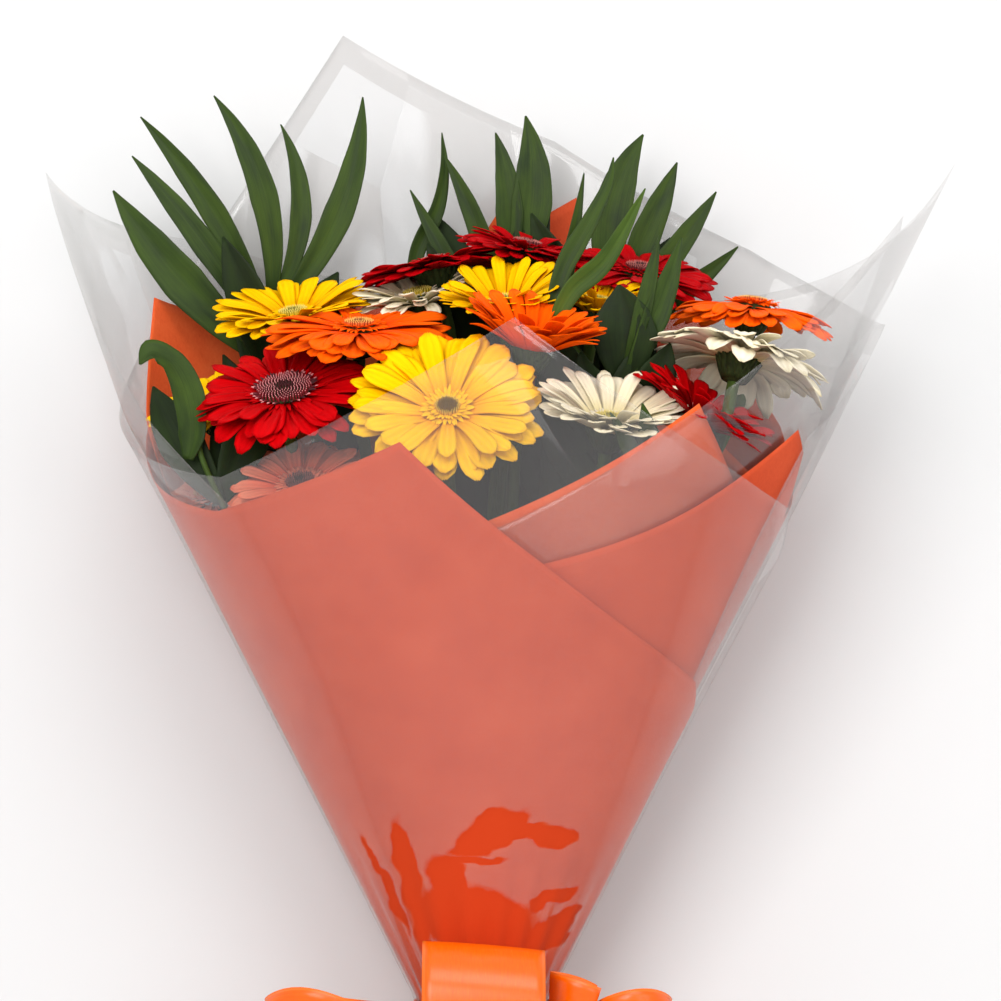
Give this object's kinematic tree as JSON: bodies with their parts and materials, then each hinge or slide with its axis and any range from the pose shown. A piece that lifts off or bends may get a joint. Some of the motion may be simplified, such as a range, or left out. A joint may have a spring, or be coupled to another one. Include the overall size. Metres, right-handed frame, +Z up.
{
  "type": "wrapped gerbera bouquet",
  "caption": "Bouquet of gerberas and palm foliage lying on its back, wrapped in coral paper and clear film, tied with a satin ribbon bow.",
  "frame": {"origin": "middle of the bounding box's underside, on the surface the bouquet lies on", "axes": "+Y from the stem ends to the flowers, +Z up out of the bouquet's front, +X to the right as seen from the front"},
  "size_m": [0.4082, 0.621, 0.2241],
  "materials": {
    "petal_yellow": "soft petals",
    "petal_red": "soft petals",
    "petal_dark_red": "soft petals",
    "petal_orange": "soft petals",
    "petal_cream": "soft petals",
    "stem": "matt green stem",
    "leaf": "satin leaf",
    "paper": "matt wrapping paper",
    "film": "clear gloss film",
    "ribbon": "satin",
    "twine": "matt twine"
  },
  "bodies": {
    "root": {"binding_twine": "twine", "bow_centre_loop": "ribbon", "bow_loop_left": "ribbon", "bow_loop_right": "ribbon", "bow_loop_small": "ribbon", "bow_tail_left": "ribbon", "bow_tail_right": "ribbon", "curled_leaf_left": "leaf", "film_inner": "film", "film_outer": "film", "gerbera_cream_back_left": "petal_cream", "gerbera_cream_front": "petal_cream", "gerbera_cream_right": "petal_cream", "gerbera_dark_red_back_left": "petal_dark_red", "gerbera_dark_red_back_middle": "petal_dark_red", "gerbera_dark_red_back_right": "petal_dark_red", "gerbera_orange_far_left": "petal_orange", "gerbera_orange_left": "petal_orange", "gerbera_orange_low_left": "petal_orange", "gerbera_orange_middle": "petal_orange", "gerbera_orange_right": "petal_orange", "gerbera_red_left": "petal_red", "gerbera_red_right": "petal_red", "gerbera_yellow_back_left": "petal_yellow", "gerbera_yellow_front": "petal_yellow", "gerbera_yellow_low_left": "petal_yellow", "gerbera_yellow_middle": "petal_yellow", "gerbera_yellow_right": "petal_yellow", "palm_frond_front": "leaf", "palm_frond_left": "leaf", "palm_frond_middle": "leaf", "palm_frond_right": "leaf", "paper_inner": "paper", "paper_outer": "paper", "pointed_leaf_front": "leaf", "ribbon_band": "ribbon", "stem_cream_back_left": "stem", "stem_cream_front": "stem", "stem_cream_right": "stem", "stem_dark_red_back_left": "stem", "stem_dark_red_back_middle": "stem", "stem_dark_red_back_right": "stem", "stem_orange_far_left": "stem", "stem_orange_left": "stem", "stem_orange_low_left": "stem", "stem_orange_middle": "stem", "stem_orange_right": "stem", "stem_red_left": "stem", "stem_red_right": "stem", "stem_yellow_back_left": "stem", "stem_yellow_front": "stem", "stem_yellow_low_left": "stem", "stem_yellow_middle": "stem", "stem_yellow_right": "stem"}
  },
  "joints": []
}
